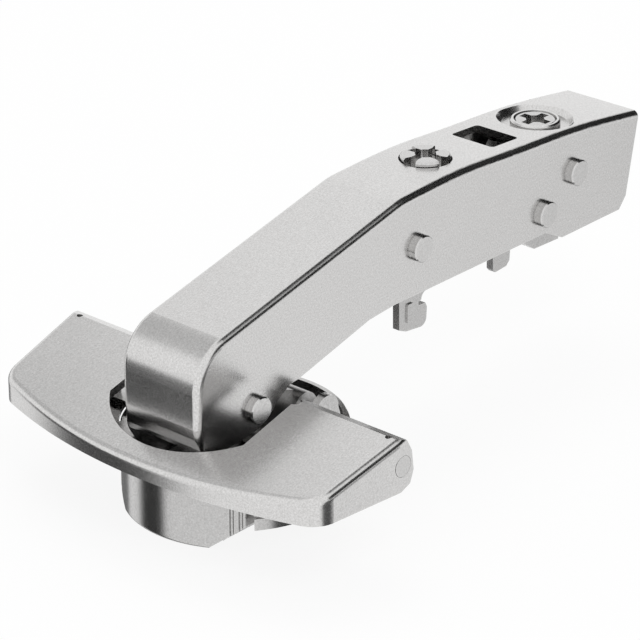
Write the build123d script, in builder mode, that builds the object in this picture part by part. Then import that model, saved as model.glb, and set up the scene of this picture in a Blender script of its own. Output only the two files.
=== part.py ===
"""Concealed cup hinge for a cabinet door, standing open at 90 degrees.

Millimetres. The origin is on the cup axis in the plane of the door's face.
+X runs along the arm towards the mounting plate, +Z points out of the cup and
+Y runs along the hinge axes. All but the cam's eccentric stud and the coils of
the spring is symmetric about the plane Y = 0.
"""

import math
import os

from build123d import *

# Cup pressed into the door
cup_radius = 17.5
cup_depth = 12.6
cup_wall = 1.1
cup_floor_half = 8.4
cup_side_half = 12.9
cup_bevel_top = -8.9
cup_rim_height = 0.7
cup_bottom_round = 0.5
flange_sheet = 1.0
cup_relief = 0.1

# Cover lever
cover_sheet = 1.3
cover_slope = 15.2
cover_height = 9.0
cover_front = -23.2
cover_half_width = 33.9
cover_corner = 4.5
cover_back = -1.4
cover_bend = 1.2
opening_radius = 17.3
opening_centre = -2.3
opening_half = 13.7
lever_pivot_x = -0.6
lever_pivot_z = 4.2
lever_pin_radius = 1.65

# Clamping jaws
jaw_inner = 13.8
jaw_bottom = -9.5

# Hinge arm
arm_half_width = 7.8
arm_sheet = 1.2
arm_front = -16.2
arm_bend = 1.1
arm_inner_half = arm_half_width - arm_sheet

# Linkage: A and B are the pins of the cup, C and D those of the arm
pin_a_x = 6.6
pin_a_z = 2.6
pin_b_x = 6.93
pin_b_z = -5.0
pin_c_x = -3.7
pin_c_z = 6.1
pin_d_x = -4.7
pin_d_z = 10.5
hinge_pin_radius = 1.25
barrel_radius = 2.6
barrel_half = 8.4
link_sheet = 1.4
link_inner = 5.0
inner_link_half = 3.0

# Fits
running_fit = 0.05
slide_fit = 0.1

# Adjusting parts inside the arm
bracket_outer = 6.4
bracket_sheet = 1.3
carriage_outer = 4.9
carriage_sheet = 1.2
carriage_pad = 6.2
screw_x = 44.3
cam_x = 72.2
dish_floor = 27.45
bracket_pin_x = 57.5
bracket_pin_z = 14.5
depth_travel = 1.3
cam_throw = 1.5
rivet_head_radius = 2.2
rivet_head = 1.25
rivet_groove = 0.45
rivet_shank = 1.4
rivet_front_x = 33.6
rivet_front_z = 20.2
rivet_middle_x = 65.1
rivet_middle_z = 16.0
rivet_rear_x = 73.0
rivet_rear_z = 20.9

os.makedirs("parts", exist_ok=True)


def cover_top(x):
    """Height of the cover's upper face above the door at x."""
    return cover_height + math.tan(math.radians(cover_slope)) * x


def arm_top(x):
    """Approximate height of the arm's back at x, on its straight front part."""
    return 19.7 + (x + 10.3) * 0.24


# Cup: deep-drawn pot with flat floor strip, bevelled sides and top flange
with BuildPart() as cup:
    with BuildSketch(Plane.XY.offset(-cup_depth)):
        Circle(cup_radius)
        Rectangle(3 * cup_radius, 2 * cup_side_half, mode=Mode.INTERSECT)
    extrude(amount=cup_depth + cup_rim_height)
    with BuildSketch(Plane.YZ.offset(-30)):
        with BuildLine():
            Polyline(
                (cup_floor_half, -cup_depth - 1),
                (cup_floor_half, -cup_depth),
                (cup_side_half, cup_bevel_top),
                (cup_side_half + 9, cup_bevel_top),
                (cup_side_half + 9, -cup_depth - 1),
                close=True,
            )
        make_face()
        mirror(about=Plane.YZ)
    extrude(amount=60, mode=Mode.SUBTRACT)
    # The hollow, which follows the same outline one wall further in
    with BuildSketch(Plane.XY.offset(-cup_depth + cup_wall)):
        Circle(cup_radius - cup_wall)
        Rectangle(3 * cup_radius, 2 * (cup_side_half - cup_wall), mode=Mode.INTERSECT)
    extrude(amount=cup_depth + 2, mode=Mode.SUBTRACT)
    bottom_arcs = cup.edges().filter_by(GeomType.CIRCLE).filter_by(lambda e: e.center().Z < -cup_depth + 0.01)
    fillet(bottom_arcs, cup_bottom_round)
    # The rim above the door's face is a little narrower than the bore
    with BuildSketch(Plane.XY):
        Circle(cup_radius + 2)
        Circle(cup_radius - 0.35, mode=Mode.SUBTRACT)
    extrude(amount=cup_rim_height + 1, mode=Mode.SUBTRACT)
    # Bevelled inner sides that keep the sheet's thickness along the bevel
    with BuildSketch(Plane.YZ.offset(-12.0)):
        with BuildLine():
            Polyline(
                (cup_floor_half - 0.4, -cup_depth + cup_wall / 2),
                (cup_side_half - 0.5, cup_bevel_top + cup_wall),
                (cup_side_half - 0.5, cup_bevel_top),
                (cup_floor_half + 0.2, -cup_depth + 0.1),
                close=True,
            )
        make_face()
        with BuildLine():
            Polyline(
                (cup_floor_half - 0.4, -cup_depth + cup_wall),
                (cup_side_half - cup_wall, cup_bevel_top + cup_wall),
                (cup_side_half - cup_wall / 2, cup_bevel_top),
                (cup_floor_half, -cup_depth + 0.2),
                close=True,
            )
        make_face()
        mirror(about=Plane.YZ)
    extrude(amount=24.0)
    # Flange that lies on the door below the cover lever
    with BuildSketch(Plane.XY.offset(cup_relief)):
        with BuildLine():
            ThreePointArc((-15.6, 30.4), (-21.3, 0), (-15.6, -30.4))
            Polyline((-15.6, -30.4), (-13.0, -31.2), (-1.0, -32.2), (0.9, -32.2), (0.9, -28.0))
            Polyline((0.9, -28.0), (-0.8, -26.0), (-0.8, 26.0), (0.9, 28.0))
            Polyline((0.9, 28.0), (0.9, 32.2), (-1.0, 32.2), (-13.0, 31.2), (-15.6, 30.4))
        make_face()
        Circle(cup_radius + 0.1, mode=Mode.SUBTRACT)
        Rectangle(80, 2 * (cup_side_half - cup_wall), mode=Mode.SUBTRACT)
    extrude(amount=flange_sheet - cup_relief)
    with BuildSketch(Plane.XY.offset(cup_relief)):
        with BuildLine():
            ThreePointArc((-20.95, 11.8), (-21.3, 0), (-20.95, -11.8))
            Polyline((-20.95, -11.8), (-10.9, -11.8), (-10.9, 11.8), (-20.95, 11.8))
        make_face()
        Circle(cup_radius - cup_wall, mode=Mode.SUBTRACT)
    extrude(amount=flange_sheet - cup_relief)
    # Undercut between the pot and the flange
    with BuildSketch(Plane.XY):
        Circle(cup_radius + 0.1)
        Circle(cup_radius - 0.35, mode=Mode.SUBTRACT)
    extrude(amount=0.35, mode=Mode.SUBTRACT)
    # Ears for the pivots of the cover lever
    for side in (-1, 1):
        with BuildSketch(Plane.XZ.offset(-side * 32.2 if side > 0 else 31.1)):
            with Locations((lever_pivot_x, lever_pivot_z)):
                Circle(2.6)
            with Locations((lever_pivot_x - 0.4, (lever_pivot_z + cup_relief) / 2)):
                Rectangle(3.8, lever_pivot_z - cup_relief)
            with Locations((lever_pivot_x, lever_pivot_z)):
                Circle(lever_pin_radius, mode=Mode.SUBTRACT)
        extrude(amount=1.1)
    # Rear ears that carry the outer link's pin
    for side in (-1, 1):
        with BuildSketch(Plane.XZ.offset(-cup_side_half if side > 0 else 11.6)):
            with BuildLine():
                Polyline((3.4, -3.0), (10.0, -3.0), (10.0, 0.7), (9.0, 3.6), (3.9, 3.6), (3.4, 0.7), close=True)
            make_face()
            with Locations((6.5, 3.6)):
                Circle(2.55)
            with Locations((pin_a_x, pin_a_z)):
                Circle(hinge_pin_radius, mode=Mode.SUBTRACT)
        extrude(amount=cup_side_half - 11.6)
    # Inner bosses beside the link that stand on the floor and carry pin B
    for side in (-1, 1):
        with BuildSketch(Plane.XZ.offset(-4.9 if side > 0 else 3.4)):
            with BuildLine():
                Polyline((3.2, -cup_depth + 0.6), (10.6, -cup_depth + 0.6), (9.4, -5.4), (4.5, -5.4), close=True)
            make_face()
            with Locations((pin_b_x, pin_b_z)):
                Circle(2.6)
                Circle(hinge_pin_radius, mode=Mode.SUBTRACT)
        extrude(amount=1.5)
    # Narrow seams in the wall of the pot
    for y in (-1, 1):
        for x, d in ((-13.0, 11.3), (-12.1, 12.3)):
            with Locations((x * 1.01, y * d * 1.01, -5.0)):
                Cylinder(0.35, 11.0, mode=Mode.SUBTRACT)
cup.part.label = "cup"
export_step(cup.part, "parts/cup.step")


# Space below the sheet of the cover lever
with BuildPart() as cover_hollow:
    with BuildSketch(Plane.XY.offset(-1)) as inner_plan:
        with BuildLine():
            ThreePointArc((-17.4, 32.5), (cover_front, 0), (-17.4, -32.5))
            Polyline((-17.4, -32.5), (-1.3, -cover_half_width), (8.4, -cover_half_width))
            Polyline((8.4, -cover_half_width), (8.4, cover_half_width))
            Polyline((8.4, cover_half_width), (-1.3, cover_half_width), (-17.4, 32.5))
        make_face()
        fillet(inner_plan.vertices().group_by(Axis.X)[0], cover_corner)
        offset(amount=-cover_sheet, mode=Mode.REPLACE)
    extrude(amount=16)
    with BuildSketch(Plane.XZ.offset(-50)):
        with BuildLine():
            Polyline(
                (-40, cover_top(-40) - cover_sheet * 1.036),
                (10, cover_top(10) - cover_sheet * 1.036),
                (10, 40),
                (-40, 40),
                close=True,
            )
        make_face()
    extrude(amount=100, mode=Mode.SUBTRACT)

# Cover lever: sheet hood with turned-down edge and an opening for the arm
with BuildPart() as cover:
    with BuildSketch(Plane.XY.offset(cup_relief)) as cover_plan:
        with BuildLine():
            ThreePointArc((-17.4, 32.5), (cover_front, 0), (-17.4, -32.5))
            Polyline((-17.4, -32.5), (-1.3, -cover_half_width), (2.4, -cover_half_width))
            Polyline((2.4, -cover_half_width), (2.4, cover_half_width))
            Polyline((2.4, cover_half_width), (-1.3, cover_half_width), (-17.4, 32.5))
        make_face()
        fillet(cover_plan.vertices().group_by(Axis.X)[0], cover_corner)
    extrude(amount=14)
    with BuildSketch(Plane.XZ.offset(-50)):
        with BuildLine():
            Polyline((-40, cover_top(-40)), (10, cover_top(10)), (10, 30), (-40, 30), close=True)
        make_face()
    extrude(amount=100, mode=Mode.SUBTRACT)
    rim = cover.faces().sort_by(Axis.Z)[-1].edges().filter_by(lambda e: e.center().X < 2.0)
    fillet(rim, cover_bend)
    with BuildSketch(Plane.XZ.offset(-50)):
        with BuildLine():
            Polyline((cover_back, 30), (cover_back, cover_top(cover_back)), (0.2, 8.2), (1.3, 6.2))
            Polyline((1.3, 6.2), (1.75, 2.9), (1.0, 0.9), (-1.2, 0), (-1.2, -1), (10, -1), (10, 30))
            Line((10, 30), (cover_back, 30))
        make_face()
    extrude(amount=100, mode=Mode.SUBTRACT)
    add(cover_hollow.part, mode=Mode.SUBTRACT)
    # Opening round the nose of the arm, open to the rear
    with BuildSketch(Plane.XY) as opening:
        with Locations((opening_centre, 0)):
            Circle(opening_radius)
        with Locations((10 + opening_centre, 0)):
            Rectangle(20, 2 * opening_half)
        with Locations((-6.3, 0)):
            Rectangle(28, 2 * opening_half, mode=Mode.INTERSECT)
        with Locations((cover_back, opening_half), (cover_back, -opening_half)):
            Circle(1.0)
        with Locations((0.8 + opening_half, 0)):
            Rectangle(2 * opening_half, 2 * opening_half)
    extrude(amount=14, mode=Mode.SUBTRACT)
    # Reliefs at the outer rear corners of the bends
    with BuildSketch(Plane.XY):
        with Locations((cover_back, cover_half_width - 2.2), (cover_back, 2.2 - cover_half_width)):
            Circle(0.5)
    extrude(amount=14, mode=Mode.SUBTRACT)
    # Wedge fingers that press the jaws outwards as the lever is lowered
    for side in (-1, 1):
        with BuildSketch(Plane.YZ.offset(-8.0)):
            with BuildLine():
                Polyline(
                    (side * 18.4, 6.0),
                    (side * 20.9, 6.0),
                    (side * 20.9, 5.2),
                    (side * 19.9, 2.6),
                    (side * 19.0, 2.6),
                    close=True,
                )
            make_face()
        extrude(amount=2.6)
    # Pivot holes in the side skirts
    with BuildSketch(Plane.XZ.offset(-40)):
        with Locations((lever_pivot_x, lever_pivot_z)):
            Circle(lever_pin_radius + running_fit)
    extrude(amount=80, mode=Mode.SUBTRACT)
cover.part.label = "cover_lever"
export_step(cover.part, "parts/cover_lever.step")

# Two shouldered pins on which the cover lever turns
with BuildPart() as lever_pins:
    for side in (-1, 1):
        with BuildSketch(Plane.XZ.offset(-cover_half_width if side > 0 else 30.3)):
            with Locations((lever_pivot_x, lever_pivot_z)):
                Circle(lever_pin_radius)
        extrude(amount=cover_half_width - 30.3)
        with BuildSketch(Plane.XZ.offset(-31.1 if side > 0 else 30.3)):
            with Locations((lever_pivot_x, lever_pivot_z)):
                Circle(lever_pin_radius + 0.6)
        extrude(amount=0.8)
lever_pins.part.label = "lever_pins"
export_step(lever_pins.part, "parts/lever_pins.step")

# Clamping jaws: circle segments with toothed claws and a slide on the flange
for jaw_name, side in (("jaw_near", -1), ("jaw_far", 1)):
    with BuildPart() as jaw:
        with BuildSketch(Plane.XY.offset(jaw_bottom)):
            Circle(cup_radius)
            with Locations((0, side * (jaw_inner + 10))):
                Rectangle(60, 20, mode=Mode.INTERSECT)
        extrude(amount=-jaw_bottom - cup_relief)
        # Grooves that leave holding ribs
        for height in (-7.6, -5.2, -2.8):
            with BuildSketch(Plane.XY.offset(height)):
                Circle(cup_radius + 1)
                Circle(cup_radius - 0.4, mode=Mode.SUBTRACT)
            extrude(amount=0.5, mode=Mode.SUBTRACT)
        # Window with the hooked claw
        with BuildSketch(Plane.XZ.offset(-side * 15.0)):
            with Locations((-3.2, -6.4)):
                Rectangle(3.4, 3.4)
        extrude(amount=-side * 4, mode=Mode.SUBTRACT)
        # Neck through the flange and slide with its inclined rib
        with BuildSketch(Plane.XY.offset(-0.6)):
            with Locations((-4.0, side * 15.05)):
                Rectangle(6.0, 1.5)
        extrude(amount=0.6 + flange_sheet + running_fit + 1.0)
        with BuildSketch(Plane.XY.offset(flange_sheet + running_fit)):
            with Locations((-5.0, side * 18.4)):
                Rectangle(8.0, 8.2)
        extrude(amount=1.0)
        with BuildSketch(Plane.YZ.offset(-9.0)):
            with BuildLine():
                Polyline(
                    (side * 20.0, 1.8),
                    (side * 22.5, 1.8),
                    (side * 22.5, 4.2),
                    (side * 21.0, 4.2),
                    (side * 20.2, 2.1),
                    close=True,
                )
            make_face()
        extrude(amount=4.0)
    jaw.part.label = jaw_name
    export_step(jaw.part, "parts/" + jaw_name + ".step")

# Outer link: two cheeks joined by the barrel that is rolled round pin A
with BuildPart() as outer_link:
    with BuildSketch(Plane.XZ.offset(-barrel_half)):
        with Locations((pin_a_x, pin_a_z)):
            Circle(barrel_radius)
    extrude(amount=2 * barrel_half)
    for side in (-1, 1):
        with BuildSketch(Plane.XZ.offset(-link_inner - link_sheet if side > 0 else link_inner)):
            with BuildLine():
                Polyline(
                    (pin_a_x + 0.6, pin_a_z + 2.2),
                    (pin_c_x + 0.9, pin_c_z + 2.6),
                    (pin_c_x - 0.9, pin_c_z - 2.6),
                    (pin_a_x - 0.6, pin_a_z - 2.2),
                    close=True,
                )
            make_face()
            with Locations((pin_c_x, pin_c_z)):
                Circle(2.75)
                Circle(1.5 + running_fit, mode=Mode.SUBTRACT)
        extrude(amount=link_sheet)
    with BuildSketch(Plane.XZ.offset(-barrel_half - 1)):
        with Locations((pin_a_x, pin_a_z)):
            Circle(hinge_pin_radius + running_fit)
    extrude(amount=2 * barrel_half + 2, mode=Mode.SUBTRACT)
outer_link.part.label = "outer_link"
export_step(outer_link.part, "parts/outer_link.step")

# Inner link: flat plate with an eye at each end
with BuildPart() as inner_link:
    with BuildSketch(Plane.XZ.offset(-inner_link_half)):
        with BuildLine():
            Polyline(
                (pin_b_x + 0.05, pin_b_z),
                (pin_d_x - 0.5, pin_d_z - 0.1),
                (pin_d_x + 0.1, pin_d_z + 1.2),
                (pin_b_x + 0.9, pin_b_z + 1.2),
                close=True,
            )
        make_face()
        with Locations((pin_b_x, pin_b_z)):
            Circle(2.25)
            Circle(hinge_pin_radius + running_fit, mode=Mode.SUBTRACT)
        with Locations((pin_d_x - 0.8, pin_d_z - 0.12)):
            Circle(3.4)
            Circle(2.2, mode=Mode.SUBTRACT)
    extrude(amount=2 * inner_link_half)
inner_link.part.label = "inner_link"
export_step(inner_link.part, "parts/inner_link.step")

# Pins of the two links in the cup
with BuildPart() as cup_pin_outer:
    with BuildSketch(Plane.XZ.offset(-cup_side_half)):
        with Locations((pin_a_x, pin_a_z)):
            Circle(hinge_pin_radius)
    extrude(amount=2 * cup_side_half)
cup_pin_outer.part.label = "cup_pin_outer"
export_step(cup_pin_outer.part, "parts/cup_pin_outer.step")

with BuildPart() as cup_pin_inner:
    with BuildSketch(Plane.XZ.offset(-9.0)):
        with Locations((pin_b_x, pin_b_z)):
            Circle(hinge_pin_radius)
    extrude(amount=18.0)
cup_pin_inner.part.label = "cup_pin_inner"
export_step(cup_pin_inner.part, "parts/cup_pin_inner.step")

# Stub rivets that join the outer link to the arm's nose
with BuildPart() as nose_rivets:
    for side in (-1, 1):
        for low, high, radius in (
            (4.1, 4.95, 2.3),
            (4.1, arm_half_width + 0.4, 1.5),
            (arm_half_width, arm_half_width + 0.3, rivet_head_radius),
            (arm_half_width, arm_half_width + rivet_groove, rivet_head_radius - 0.08),
            (arm_half_width + rivet_groove, arm_half_width + rivet_head, rivet_head_radius),
        ):
            with BuildSketch(Plane.XZ.offset(-high if side > 0 else low)):
                with Locations((pin_c_x, pin_c_z)):
                    Circle(radius)
            extrude(amount=high - low)
    heads = nose_rivets.edges().filter_by(GeomType.CIRCLE)
    heads = heads.filter_by(lambda e: abs(abs(e.center().Y) - arm_half_width - rivet_head) < 0.01)
    chamfer(heads, 0.18)
nose_rivets.part.label = "nose_rivets"
export_step(nose_rivets.part, "parts/nose_rivets.step")

# Pin of the inner link inside the arm
with BuildPart() as arm_pin:
    with BuildSketch(Plane.XZ.offset(-arm_inner_half)):
        with Locations((pin_d_x, pin_d_z)):
            Circle(hinge_pin_radius)
    extrude(amount=2 * arm_inner_half)
arm_pin.part.label = "arm_pin"
export_step(arm_pin.part, "parts/arm_pin.step")

# Closing spring: two coils on pin B, legs on the floor and against the barrel
with BuildPart() as closing_spring:
    for side in (-1, 1):
        middle = side * 7.0
        with BuildLine() as coil:
            Helix(pitch=1.05, height=3.15, radius=1.85, center=(0, 0, 0))
        with BuildLine(Plane.XY) as wire_path:
            add(coil.line.moved(Location((pin_b_x, middle + 1.57, pin_b_z), (90, 0, 0))))
        with BuildSketch(Plane(origin=wire_path.line @ 0, z_dir=wire_path.line % 0)):
            Circle(0.42)
        sweep(path=wire_path.line)
closing_spring.part.label = "closing_spring"
export_step(closing_spring.part, "parts/closing_spring.step")

# Damper in the cup that the arm presses down at the end of closing
with BuildPart() as damper_housing:
    with Locations((-7.2, 0, (-cup_depth + cup_wall + -6.6) / 2)):
        Box(9.6, 11.0, cup_depth - cup_wall - 6.6)
    fillet(damper_housing.edges().filter_by(Axis.Z), 1.2)
    with Locations((-7.2, 0, -6.6)):
        Cylinder(2.9, 0.8, align=(Align.CENTER, Align.CENTER, Align.MIN))
    with Locations((-7.2, 0, -5.8)):
        Hole(2.1 + running_fit, depth=5.3)
damper_housing.part.label = "damper_housing"
export_step(damper_housing.part, "parts/damper_housing.step")

with BuildPart() as damper_plunger:
    with Locations((-7.2, 0, -7.6)):
        Cylinder(2.1, 5.6, align=(Align.CENTER, Align.CENTER, Align.MIN))
    fillet(damper_plunger.edges().sort_by(Axis.Z)[-1], 1.2)
damper_plunger.part.label = "damper_plunger"
export_step(damper_plunger.part, "parts/damper_plunger.step")

# Hinge arm: one bent sheet with gooseneck nose
with BuildPart() as arm:
    with BuildSketch(Plane.XZ.offset(-arm_half_width)) as arm_outline:
        with BuildLine():
            Polyline((-14.7, 2.0), (-15.5, 3.4), (-16.05, 5.2), (arm_front, 6.8), (arm_front, 12.3))
            ThreePointArc((arm_front, 12.3), (-14.05, 17.55), (-10.3, 19.7))
            Line((-10.3, 19.7), (28.5, 29.01))
            ThreePointArc((28.5, 29.01), (29.68, 29.23), (30.88, 29.32))
            Spline(
                (30.88, 29.32),
                (46.0, 29.75),
                (57.0, 29.2),
                (72.0, 28.5),
                (90.0, 26.5),
                tangents=((1, 0.05), (1, -0.13)),
            )
            Polyline((90.0, 26.5), (90.0, 25.5), (87.4, 12.2), (85.7, 10.2), (70.2, 10.1), (65.7, 12.3))
            Polyline((65.7, 12.3), (28.0, 12.3), (22.0, 11.8), (6.1, 7.7), (3.8, 7.4), (0.9, 5.6))
            Spline((0.9, 5.6), (-1.8, 3.2), (-5.5, 2.2))
            Polyline((-5.5, 2.2), (-9.0, 1.9), (-12.6, 1.5), (-14.7, 2.0))
        make_face()
    extrude(amount=2 * arm_half_width)
    long_bends = arm.edges().filter_by(lambda e: abs(abs(e.center().Y) - arm_half_width) < 0.01)
    long_bends = long_bends.filter_by(
        lambda e: e.center().Z > arm_top(min(e.center().X, 29.0)) - 2.6 and e.center().X < 88 and e.center().Z > 9
    )
    fillet(long_bends, arm_bend)
    # Hollow between the walls, open below and at the rear
    with BuildSketch(Plane.XZ.offset(-arm_inner_half)):
        with BuildLine():
            Polyline((-13.6, 0.5), (-13.6, 2.2), (-14.4, 3.9), (-14.95, 5.9), (-15.0, 12.4))
            ThreePointArc((-15.0, 12.4), (-13.1, 16.8), (-10.0, 18.5))
            Line((-10.0, 18.5), (28.7, 27.79))
            Line((28.7, 27.79), (31.0, 28.12))
            Spline((31.0, 28.12), (46.0, 28.55), (57.0, 28.0), (72.0, 27.3), (92.0, 25.0))
            Polyline((92.0, 25.0), (92.0, 0.5), (-13.6, 0.5))
        make_face()
    extrude(amount=2 * arm_inner_half, mode=Mode.SUBTRACT)
    # Notch in the lip of the nose for the inner link of the closed hinge
    with BuildSketch(Plane.XY):
        with Locations((-14.0, 0)):
            Rectangle(5.0, 2 * inner_link_half + 0.8)
    extrude(amount=2.4, mode=Mode.SUBTRACT)
    # Holes in the arm's back for the two adjusting screws and the view slot
    with BuildSketch(Plane.XY.offset(20)):
        with Locations((screw_x, 0)):
            Circle(4.3)
        with Locations((59.1, 0)):
            RectangleRounded(6.7, 8.6, 0.7)
    extrude(amount=15, mode=Mode.SUBTRACT)
    # Dished seat of the depth cam with its raised ring
    with BuildSketch(Plane.XY.offset(dish_floor - arm_sheet)):
        with Locations((cam_x, 0)):
            Circle(6.35)
    extrude(amount=arm_sheet + 1.0)
    with BuildSketch(Plane.XY.offset(dish_floor)):
        with Locations((cam_x, 0)):
            Circle(5.6)
    extrude(amount=4, taper=-32, mode=Mode.SUBTRACT)
    with BuildSketch(Plane.XY.offset(dish_floor - arm_sheet)):
        with Locations((cam_x, 0)):
            Circle(4.15)
    extrude(amount=arm_sheet + 1.0)
    ring_top = arm.faces().filter_by(Axis.Z).filter_by(lambda f: abs(f.center().Z - dish_floor - 1.0) < 0.01)
    ring_top = ring_top.filter_by(lambda f: abs(f.center().X - cam_x) < 0.1)
    chamfer(ring_top.edges(), 0.25)
    with BuildSketch(Plane.XY.offset(dish_floor - arm_sheet - 1)):
        with Locations((cam_x, 0)):
            Circle(3.5 + running_fit)
    extrude(amount=5, mode=Mode.SUBTRACT)
    # Rivet holes through both walls
    with BuildSketch(Plane.XZ.offset(-20)):
        with Locations((pin_c_x, pin_c_z)):
            Circle(1.5)
        with Locations(
            (rivet_front_x, rivet_front_z), (rivet_middle_x, rivet_middle_z), (rivet_rear_x, rivet_rear_z)
        ):
            Circle(rivet_shank)
    extrude(amount=40, mode=Mode.SUBTRACT)
arm.part.label = "arm"
export_step(arm.part, "parts/arm.step")

# Cross rivets of the arm: a stop for the bracket and two guides for the carriage
for rivet_name, rivet_x, rivet_z in (
    ("rivet_front", rivet_front_x, rivet_front_z),
    ("rivet_middle", rivet_middle_x, rivet_middle_z),
    ("rivet_rear", rivet_rear_x, rivet_rear_z),
):
    with BuildPart() as rivet:
        with BuildSketch(Plane.XZ.offset(-arm_half_width - rivet_groove)):
            with Locations((rivet_x, rivet_z)):
                Circle(rivet_shank)
        extrude(amount=2 * (arm_half_width + rivet_groove))
        for side in (-1, 1):
            for low, high, radius in (
                (arm_half_width, arm_half_width + 0.3, rivet_head_radius),
                (arm_half_width, arm_half_width + rivet_groove, rivet_head_radius - 0.08),
                (arm_half_width + rivet_groove, arm_half_width + rivet_head, rivet_head_radius),
            ):
                with BuildSketch(Plane.XZ.offset(-high if side > 0 else low)):
                    with Locations((rivet_x, rivet_z)):
                        Circle(radius)
                extrude(amount=high - low)
        ends = rivet.edges().filter_by(GeomType.CIRCLE)
        ends = ends.filter_by(lambda e: abs(abs(e.center().Y) - arm_half_width - rivet_head) < 0.01)
        chamfer(ends, 0.18)
    rivet.part.label = rivet_name
    export_step(rivet.part, "parts/" + rivet_name + ".step")

# Front bracket: U channel whose hooks catch the front of the mounting plate
with BuildPart() as bracket:
    with BuildSketch(Plane.XZ.offset(-bracket_outer)):
        with BuildLine():
            Polyline((28.6, 16.4), (54.0, 16.4), (58.0, 17.4), (60.2, 16.2), (60.4, 13.2), (58.4, 12.4))
            Polyline((58.4, 12.4), (58.2, 9.6), (57.4, 8.8), (54.6, 8.6), (54.0, 9.2), (53.9, 12.4))
            Polyline((53.9, 12.4), (50.0, 12.4), (49.6, 12.0), (39.8, 11.9), (38.6, 11.3), (37.2, 11.3))
            ThreePointArc((37.2, 11.3), (36.4, 10.9), (36.1, 10.1))
            Polyline((36.1, 10.1), (35.4, 9.9), (35.4, 9.3), (37.1, 9.2), (37.5, 8.4), (37.4, 6.6))
            ThreePointArc((37.4, 6.6), (36.9, 5.7), (35.9, 5.4))
            Polyline((35.9, 5.4), (32.4, 5.8), (30.8, 6.5), (30.7, 12.2), (28.6, 12.6), (28.6, 16.4))
        make_face()
    extrude(amount=2 * bracket_outer)
    with BuildSketch(Plane.XZ.offset(bracket_sheet - bracket_outer)):
        with BuildLine():
            Polyline((20, 0), (20, 15.1), (53.0, 15.1), (53.0, 30), (70, 30), (70, 0), close=True)
        make_face()
    extrude(amount=2 * (bracket_outer - bracket_sheet), mode=Mode.SUBTRACT)
    # Long hole in the web for the nut of the overlay screw
    with BuildSketch(Plane.XY.offset(14)):
        with Locations((screw_x, 0)):
            SlotCenterToCenter(2 * (depth_travel + 0.4), 2 * (3.3 + slide_fit))
    extrude(amount=4, mode=Mode.SUBTRACT)
    with BuildSketch(Plane.XZ.offset(-20)):
        with Locations((bracket_pin_x, bracket_pin_z)):
            Circle(1.5 + running_fit)
    extrude(amount=40, mode=Mode.SUBTRACT)
    # Lanced tab that stands out of each hook
    for side in (-1, 1):
        with BuildSketch(Plane.XZ.offset(-bracket_outer - 0.3 if side > 0 else bracket_outer - 0.3)):
            with Locations((33.2, 8.8)):
                RectangleRounded(1.5, 3.2, 0.3)
        extrude(amount=0.6)
bracket.part.label = "bracket"
export_step(bracket.part, "parts/bracket.step")

with BuildPart() as bracket_pin:
    with BuildSketch(Plane.XZ.offset(-bracket_outer)):
        with Locations((bracket_pin_x, bracket_pin_z)):
            Circle(1.5)
    extrude(amount=2 * bracket_outer)
bracket_pin.part.label = "bracket_pin"
export_step(bracket_pin.part, "parts/bracket_pin.step")

# Carriage: inner channel that the depth cam moves along the arm
with BuildPart() as carriage:
    with BuildSketch(Plane.XZ.offset(-carriage_outer)):
        with BuildLine():
            Polyline((55.0, 12.4), (60.8, 11.8), (64.8, 9.4), (71.5, 9.2), (72.0, 11.4), (82.2, 11.4))
            Polyline((82.2, 11.4), (82.2, 23.4), (80.4, 25.2), (66.2, 25.2), (62.6, 19.4), (58.6, 16.9))
            Polyline((58.6, 16.9), (55.6, 16.6), (55.0, 12.4))
        make_face()
    extrude(amount=2 * carriage_outer)
    with BuildSketch(Plane.XZ.offset(carriage_sheet - carriage_outer)):
        with BuildLine():
            Polyline((50, 0), (50, 30), (66.0, 30), (66.0, 24.0), (90, 24.0), (90, 0), close=True)
        make_face()
    extrude(amount=2 * (carriage_outer - carriage_sheet), mode=Mode.SUBTRACT)
    # Pads by which the walls stand out to the arm
    for side in (-1, 1):
        with BuildSketch(Plane.XZ.offset(-carriage_pad if side > 0 else carriage_outer - 0.2)):
            with BuildLine():
                Polyline((61.4, 13.4), (61.4, 11.6), (64.9, 9.3), (71.3, 9.1), (71.3, 13.4), close=True)
            make_face()
        extrude(amount=carriage_pad - carriage_outer + 0.2)
    # Guide slots for the rivets and the hole of the bracket pin
    with BuildSketch(Plane.XZ.offset(-20)):
        with Locations((rivet_middle_x, rivet_middle_z), (rivet_rear_x, rivet_rear_z)):
            SlotCenterToCenter(2 * (depth_travel + 0.2), 2 * (rivet_shank + running_fit))
        with Locations((bracket_pin_x, bracket_pin_z)):
            Circle(1.5)
        with Locations((78.6, 15.0)):
            Circle(1.25)
    extrude(amount=40, mode=Mode.SUBTRACT)
    # Cross slot in which the eccentric of the cam works
    with BuildSketch(Plane.XY.offset(23)):
        with Locations((cam_x, 0.4)):
            Rectangle(2 * (1.6 + 0.2), 6.4)
    extrude(amount=4, mode=Mode.SUBTRACT)
carriage.part.label = "carriage"
export_step(carriage.part, "parts/carriage.step")

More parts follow.
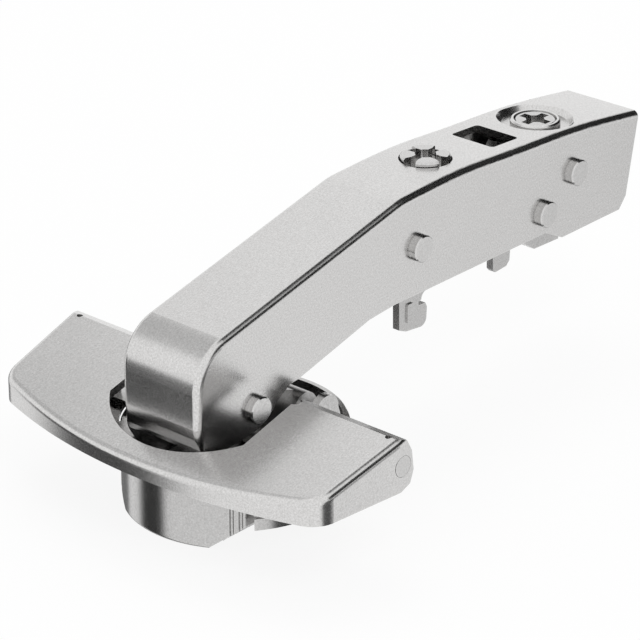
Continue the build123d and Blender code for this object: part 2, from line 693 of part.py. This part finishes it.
# Overlay screw with four raised claws, held under the arm's back by a collar
with BuildPart() as overlay_screw:
    with Locations((screw_x, 0, 27.6)):
        Cylinder(4.05, 2.95, align=(Align.CENTER, Align.CENTER, Align.MIN))
    chamfer(overlay_screw.edges().sort_by(Axis.Z)[-1], 0.35)
    with Locations((screw_x, 0, 26.9)):
        Cylinder(5.6, 1.25, align=(Align.CENTER, Align.CENTER, Align.MIN))
    with Locations((screw_x, 0, 12.8)):
        Cylinder(2.0, 15.0, align=(Align.CENTER, Align.CENTER, Align.MIN))
    with BuildSketch(Plane.XY.offset(31.0)):
        with Locations((screw_x, 0)):
            Circle(1.7)
            for turn in (0, 90, 180, 270):
                with Locations(Location((0, 0, 0), (0, 0, turn))):
                    with BuildLine(mode=Mode.PRIVATE) as slot_line:
                        Polyline((0, -0.75), (2.6, -0.75), (4.6, -1.5), (4.6, 1.5), (2.6, 0.75), (0, 0.75), close=True)
                    add(make_face(slot_line.edges(), mode=Mode.PRIVATE))
    extrude(amount=-2.3, mode=Mode.SUBTRACT)
overlay_screw.part.label = "overlay_screw"
export_step(overlay_screw.part, "parts/overlay_screw.step")

# Nut that rides on the screw and carries the bracket's web between two collars
with BuildPart() as overlay_nut:
    with Locations((screw_x, 0, 13.5)):
        Cylinder(3.3, 4.6, align=(Align.CENTER, Align.CENTER, Align.MIN))
    with Locations((screw_x, 0, 13.5)):
        Cylinder(4.8, 1.0, align=(Align.CENTER, Align.CENTER, Align.MIN))
    with Locations((screw_x, 0, 17.0)):
        Cylinder(4.8, 1.1, align=(Align.CENTER, Align.CENTER, Align.MIN))
    with Locations((screw_x, 0, 18.1)):
        Hole(2.0 + running_fit, depth=5.0)
overlay_nut.part.label = "overlay_nut"
export_step(overlay_nut.part, "parts/overlay_nut.step")

# Depth cam: cross-recessed disc, collar under the sheet and eccentric stud
with BuildPart() as depth_cam:
    with Locations((cam_x, 0, dish_floor - arm_sheet - running_fit)):
        Cylinder(3.5, arm_sheet + 0.9, align=(Align.CENTER, Align.CENTER, Align.MIN))
    chamfer(depth_cam.edges().sort_by(Axis.Z)[-1], 0.3)
    with Locations((cam_x, 0, dish_floor - arm_sheet - running_fit)):
        Cylinder(4.4, 0.85, align=(Align.CENTER, Align.CENTER, Align.MAX))
    with Locations((cam_x, cam_throw, 23.2)):
        Cylinder(1.6, 3.0, align=(Align.CENTER, Align.CENTER, Align.MIN))
    with BuildSketch(Plane.XY.offset(29.0)):
        with Locations((cam_x, 0)):
            Rectangle(5.4, 1.5)
            Rectangle(1.5, 5.4)
            with Locations(Location((0, 0, 0), (0, 0, 45))):
                Rectangle(3.0, 3.0)
    extrude(amount=-2.3, mode=Mode.SUBTRACT)
depth_cam.part.label = "depth_cam"
export_step(depth_cam.part, "parts/depth_cam.step")

# Release latch: lever with a press face at the rear end and a hook below
with BuildPart() as latch:
    with BuildSketch(Plane.XZ.offset(-3.4)):
        with BuildLine():
            Polyline((76.4, 16.6), (81.0, 17.0), (84.6, 21.8), (89.0, 23.2), (89.3, 21.8), (87.2, 14.0))
            Polyline((87.2, 14.0), (84.8, 13.6), (83.4, 9.6), (80.6, 9.4), (79.8, 10.6), (80.6, 12.2), (76.4, 13.4))
            Line((76.4, 13.4), (76.4, 16.6))
        make_face()
        with Locations((78.6, 15.0)):
            Circle(1.25 + running_fit, mode=Mode.SUBTRACT)
    extrude(amount=6.8)
    with Locations((83.0, 0, 17.5)):
        Box(9.4, 4.0, 30.0, mode=Mode.SUBTRACT)
latch.part.label = "latch"
export_step(latch.part, "parts/latch.step")

with BuildPart() as latch_pin:
    with BuildSketch(Plane.XZ.offset(-carriage_outer)):
        with Locations((78.6, 15.0)):
            Circle(1.25)
    extrude(amount=2 * carriage_outer)
latch_pin.part.label = "latch_pin"
export_step(latch_pin.part, "parts/latch_pin.step")

# Leaf spring between the carriage's web and the latch
with BuildPart() as latch_spring:
    with BuildSketch(Plane.XZ.offset(-1.8)):
        with BuildLine():
            Polyline((76.0, 23.95), (80.0, 23.95), (80.6, 23.4), (80.2, 17.0), (79.8, 17.0), (80.1, 23.2))
            Polyline((80.1, 23.2), (79.7, 23.55), (76.0, 23.55), (76.0, 23.95))
        make_face()
    extrude(amount=3.6)
latch_spring.part.label = "latch_spring"
export_step(latch_spring.part, "parts/latch_spring.step")
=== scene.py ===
import math

import bpy
from mathutils import Matrix, Vector


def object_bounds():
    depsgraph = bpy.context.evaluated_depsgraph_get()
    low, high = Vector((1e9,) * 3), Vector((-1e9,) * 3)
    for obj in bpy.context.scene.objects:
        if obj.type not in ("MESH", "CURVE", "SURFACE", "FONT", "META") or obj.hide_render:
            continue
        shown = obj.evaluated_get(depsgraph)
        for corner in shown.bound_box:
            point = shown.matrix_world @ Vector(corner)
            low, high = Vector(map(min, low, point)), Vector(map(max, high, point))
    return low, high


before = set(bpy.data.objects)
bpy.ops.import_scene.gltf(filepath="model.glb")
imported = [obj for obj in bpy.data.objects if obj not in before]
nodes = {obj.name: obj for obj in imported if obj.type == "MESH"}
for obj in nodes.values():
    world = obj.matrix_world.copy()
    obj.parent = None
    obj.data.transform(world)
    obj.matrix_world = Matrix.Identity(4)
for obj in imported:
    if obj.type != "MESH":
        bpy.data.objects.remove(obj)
cad_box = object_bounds()


# Shader maths on sockets

class Field:
    """A socket of one material, with arithmetic that adds Math nodes."""

    def __init__(self, tree, socket):
        self.tree = tree
        self.socket = socket

    def _math(self, operation, first, second=None, clamp=False):
        node = self.tree.nodes.new("ShaderNodeMath")
        node.operation = operation
        node.use_clamp = clamp
        for slot, value in zip(node.inputs, (first, second)):
            if isinstance(value, Field):
                self.tree.links.new(value.socket, slot)
            elif value is not None:
                slot.default_value = value
        return Field(self.tree, node.outputs[0])

    def __add__(self, other):
        return self._math("ADD", self, other)

    def __radd__(self, other):
        return self._math("ADD", other, self)

    def __sub__(self, other):
        return self._math("SUBTRACT", self, other)

    def __rsub__(self, other):
        return self._math("SUBTRACT", other, self)

    def __mul__(self, other):
        return self._math("MULTIPLY", self, other)

    def __rmul__(self, other):
        return self._math("MULTIPLY", other, self)

    def clamped(self):
        return self._math("ADD", self, 0.0, clamp=True)


class Finish:
    """Builds the nodes of one material or of the world."""

    def __init__(self, tree):
        self.tree = tree
        tree.nodes.clear()

    def node(self, kind, settings=None, output=0, **values):
        """Adds a node; i0, i1 and so on name its inputs by number."""
        made = self.tree.nodes.new("ShaderNode" + kind)
        for key, value in (settings or {}).items():
            setattr(made, key, value)
        for name, value in values.items():
            numbered = name[0] == "i" and name[1:].isdigit()
            slot = made.inputs[int(name[1:]) if numbered else name.replace("_", " ")]
            if isinstance(value, Field):
                self.tree.links.new(value.socket, slot)
            else:
                slot.default_value = value
        return Field(self.tree, made.outputs[output]) if len(made.outputs) else None

    def mix(self, amount, first, second):
        return self.node("Mix", {"data_type": "RGBA"}, output=2, i0=amount, i6=first, i7=second)

    def step(self, value, low, high):
        """Smooth rise from 0 at low to 1 at high."""
        smooth = {"interpolation_type": "SMOOTHSTEP"}
        return self.node("MapRange", smooth, Value=value, From_Min=low, From_Max=high)

    def window(self, value, low, high, soft):
        """1 between low and high, fading over soft on either side."""
        return self.step(value, low - soft, low + soft) * (1 - self.step(value, high - soft, high + soft))

    def worn_edge(self, gain, radius=0.0003):
        """1 on sharp edges and 0 on flat faces."""
        rounded = self.node("Bevel", {"samples": 4}, Radius=radius)
        flat = self.node("NewGeometry", output=1)
        along = self.node("VectorMath", {"operation": "DOT_PRODUCT"}, output=1, i0=rounded, i1=flat)
        return ((1 - along) * gain).clamped()

    def noise(self, place, scale, detail, roughness):
        return self.node("TexNoise", Vector=place, Scale=scale, Detail=detail, Roughness=roughness)


def new_finish(name):
    """A new material and the builder of its nodes."""
    material = bpy.data.materials.new(name)
    material.use_nodes = True
    return material, Finish(material.node_tree)


def grey(level):
    return (level, level, level, 1.0)


def metal(name, dark, light, rough, grain=1.0, streak=(1, 1, 1), warm=0.012):
    """Plated steel: fine grain, faint rolling streaks, bright worn edges.

    dark and light are the ends of its tone, rough its mean roughness, streak
    the scale of its streaks along each axis and warm the tint towards red.
    """
    material, f = new_finish(name)
    place = f.node("TexCoord", output=3)
    stretched = f.node("Mapping", Vector=place, Scale=streak)
    fine = f.noise(place, 3600.0, 3.0, 0.6)
    streaks = f.noise(stretched, 1500.0, 4.0, 0.6)
    cloud = f.noise(place, 80.0, 3.0, 0.5)
    edge = f.worn_edge(7.0)
    tone = (fine - 0.5) * (2.2 * grain) + (streaks - 0.5) * (0.35 * grain) + (cloud - 0.5) * 0.30 + 0.5
    tone = (tone + edge * 0.35).clamped()
    deep = (dark * (1 + warm), dark, dark * (1 - warm), 1.0)
    pale = (light * (1 + warm * 0.6), light, light * (1 - warm * 0.6), 1.0)
    colour = f.mix(tone, deep, pale)
    roughness = rough + (fine - 0.5) * 0.06 + (streaks - 0.5) * 0.05 + (cloud - 0.5) * 0.05
    roughness = (roughness - edge * 0.03).clamped()
    relief = fine * 0.5 + streaks * 0.5
    bump = f.node("Bump", Strength=0.30 * grain, Distance=0.00002, Height=relief)
    skin = f.node("BsdfPrincipled", Base_Color=colour, Metallic=1.0, Roughness=roughness, Normal=bump)
    f.node("OutputMaterial", Surface=skin)
    return material


def plastic(name, dark, light, rough):
    """Moulded plastic with a fine spark-eroded grain."""
    material, f = new_finish(name)
    place = f.node("TexCoord", output=3)
    fine = f.noise(place, 1700.0, 4.0, 0.6)
    cloud = f.noise(place, 130.0, 2.0, 0.5)
    edge = f.worn_edge(6.0)
    tone = ((fine - 0.5) * 0.4 + (cloud - 0.5) * 0.5 + 0.45 + edge * 0.4).clamped()
    colour = f.mix(tone, grey(dark), grey(light))
    bump = f.node("Bump", Strength=0.35, Distance=0.00004, Height=fine)
    roughness = (rough + (fine - 0.5) * 0.15).clamped()
    skin = f.node("BsdfPrincipled", Base_Color=colour, Roughness=roughness, Normal=bump)
    f.node("OutputMaterial", Surface=skin)
    return material


sheet_nickel = metal("sheet_nickel", 0.54, 0.74, 0.22, grain=1.0, streak=(0.25, 2.2, 1.0))
arm_nickel = metal("arm_nickel", 0.54, 0.74, 0.235, grain=1.0, streak=(0.2, 2.0, 2.0))
cup_nickel = metal("cup_nickel", 0.40, 0.60, 0.18, grain=0.9, streak=(1.6, 1.6, 0.25))
link_nickel = metal("link_nickel", 0.36, 0.54, 0.32, grain=1.1, streak=(0.3, 2.0, 0.3))
channel_nickel = metal("channel_nickel", 0.44, 0.64, 0.28, grain=1.0, streak=(0.25, 2.0, 2.0))
pin_finish = metal("turned_pin", 0.48, 0.70, 0.20, grain=0.6, streak=(2.0, 0.3, 2.0))
screw_finish = metal("screw_zinc", 0.48, 0.68, 0.20, grain=0.8, streak=(1.0, 1.0, 1.0))
spring_finish = metal("spring_wire", 0.26, 0.46, 0.32, grain=0.8, streak=(1.0, 0.3, 1.0))
damper_finish = plastic("damper_grey", 0.10, 0.20, 0.45)
plunger_finish = plastic("plunger_pale", 0.42, 0.58, 0.40)

finishes = {
    "cup": cup_nickel,
    "cover_lever": sheet_nickel,
    "jaw_near": cup_nickel,
    "jaw_far": cup_nickel,
    "arm": arm_nickel,
    "outer_link": link_nickel,
    "inner_link": link_nickel,
    "bracket": channel_nickel,
    "carriage": channel_nickel,
    "latch": channel_nickel,
    "overlay_screw": screw_finish,
    "overlay_nut": screw_finish,
    "depth_cam": screw_finish,
    "closing_spring": spring_finish,
    "latch_spring": spring_finish,
    "damper_housing": damper_finish,
    "damper_plunger": plunger_finish,
}
for name, node in nodes.items():
    chosen = finishes.get(name, pin_finish)
    for slot in node.material_slots:
        slot.material = chosen


# Floor that keeps a soft shadow, and the studio seen in the metal

floor_height = cad_box[0][2] - 0.0001
camera_side = Vector((-0.74734, -0.66444, 0.0))
right_side = Vector((0.66444, -0.74734, 0.0))


def studio_angle(f, direction):
    """Degrees round the object: 0 towards the viewer's side, positive to the right."""
    ahead = f.node("VectorMath", {"operation": "DOT_PRODUCT"}, output=1, i0=direction, i1=camera_side)
    aside = f.node("VectorMath", {"operation": "DOT_PRODUCT"}, output=1, i0=direction, i1=right_side)
    return f.node("Math", {"operation": "ARCTAN2"}, i0=aside, i1=ahead) * (180.0 / math.pi)


def make_floor():
    """Paper that keeps a faint shadow and is nearly white to the camera."""
    size = 6.0
    mesh = bpy.data.meshes.new("floor")
    corners = [(x * size, y * size, floor_height) for x, y in ((-1, -1), (1, -1), (1, 1), (-1, 1))]
    mesh.from_pydata(corners, [], [(0, 1, 2, 3)])
    floor = bpy.data.objects.new("floor", mesh)
    bpy.context.scene.collection.objects.link(floor)
    material, f = new_finish("floor_paper")
    direct = f.node("LightPath", output=0)
    paper = f.node("BsdfDiffuse", Color=grey(0.90))
    glow = f.node("Emission", Color=grey(1.0), Strength=1.0)
    surface = f.node("MixShader", i0=direct * 0.88, i1=paper, i2=glow)
    f.node("OutputMaterial", Surface=surface)
    mesh.materials.append(material)
    floor.visible_glossy = False
    return floor


def make_world():
    """White studio; glossy rays see dark cards that draw the bands in the metal."""
    world = bpy.data.worlds.new("studio")
    bpy.context.scene.world = world
    world.use_nodes = True
    f = Finish(world.node_tree)
    direction = f.node("TexCoord", output=0)
    angle = studio_angle(f, direction)
    height = f.node("SeparateXYZ", output=2, Vector=direction)
    lift = f.node("Math", {"operation": "ARCSINE"}, i0=height) * (180.0 / math.pi)
    below = 1 - f.step(lift, -7, -1)
    above = 1 - below
    side_low = f.window(angle, 52, 160, 4) * f.window(lift, 3, 38, 3)
    side_high = f.window(angle, 84, 165, 3) * f.window(lift, 34, 80, 4)
    side_card = f.node("Math", {"operation": "MAXIMUM"}, i0=side_low, i1=side_high) * above
    far_card = f.window(angle, -158.6, -95, 2) * f.window(lift, 30, 62, 5) * above
    low_right = f.window(angle, -110, -76, 6) * below
    low_left = f.window(angle, -168, -135, 3) * below
    low_corner = f.window(angle, 38, 80, 4) * below
    cards = 1 - side_card * 1.0 - far_card * 0.40 - low_right * 0.96 - low_left * 0.80 - low_corner * 0.92
    low_rear = f.window(angle, 103, 172, 6) * below
    cards = (cards - low_rear * 0.42).clamped()
    glossy = f.node("LightPath", output=3)
    seen = f.node("LightPath", output=0)
    studio = f.mix(cards, grey(0.01), grey(1.04))
    tone = f.mix(glossy, grey(0.80), studio)
    tone = f.mix(seen, tone, grey(1.0))
    back = f.node("Background", Color=tone, Strength=1.0)
    f.node("OutputWorld", Surface=back)


def soft_lamp(name, place, aim, size, power):
    light = bpy.data.lights.new(name, "AREA")
    light.shape = "RECTANGLE"
    light.size, light.size_y = size
    light.energy = power
    lamp = bpy.data.objects.new(name, light)
    bpy.context.scene.collection.objects.link(lamp)
    lamp.location = place
    lamp.rotation_euler = (Vector(aim) - Vector(place)).to_track_quat("-Z", "Y").to_euler()
    lamp.visible_glossy = False
    return lamp


make_floor()
make_world()
soft_lamp("key_lamp", (-0.20, -0.55, 0.75), (0.03, 0, 0), (0.35, 0.35), 1.6)
soft_lamp("top_lamp", (0.25, 0.30, 0.80), (0.03, 0, 0), (0.5, 0.5), 1.4)

# Camera fitted to the photograph

lens = bpy.data.cameras.new("camera")
lens.lens = 182.96
lens.sensor_width = 36.0
lens.clip_start = 0.01
camera = bpy.data.objects.new("camera", lens)
bpy.context.scene.collection.objects.link(camera)
up = Vector((0.31258, 0.27790, 0.90833))
back = Vector((-0.67883, -0.60353, 0.41825))
turn = Matrix((right_side, up, back)).transposed()
camera.matrix_world = Matrix.Translation((-0.32168, -0.30322, 0.22045)) @ turn.to_4x4()
bpy.context.scene.camera = camera
bpy.context.scene.view_settings.view_transform = "Standard"
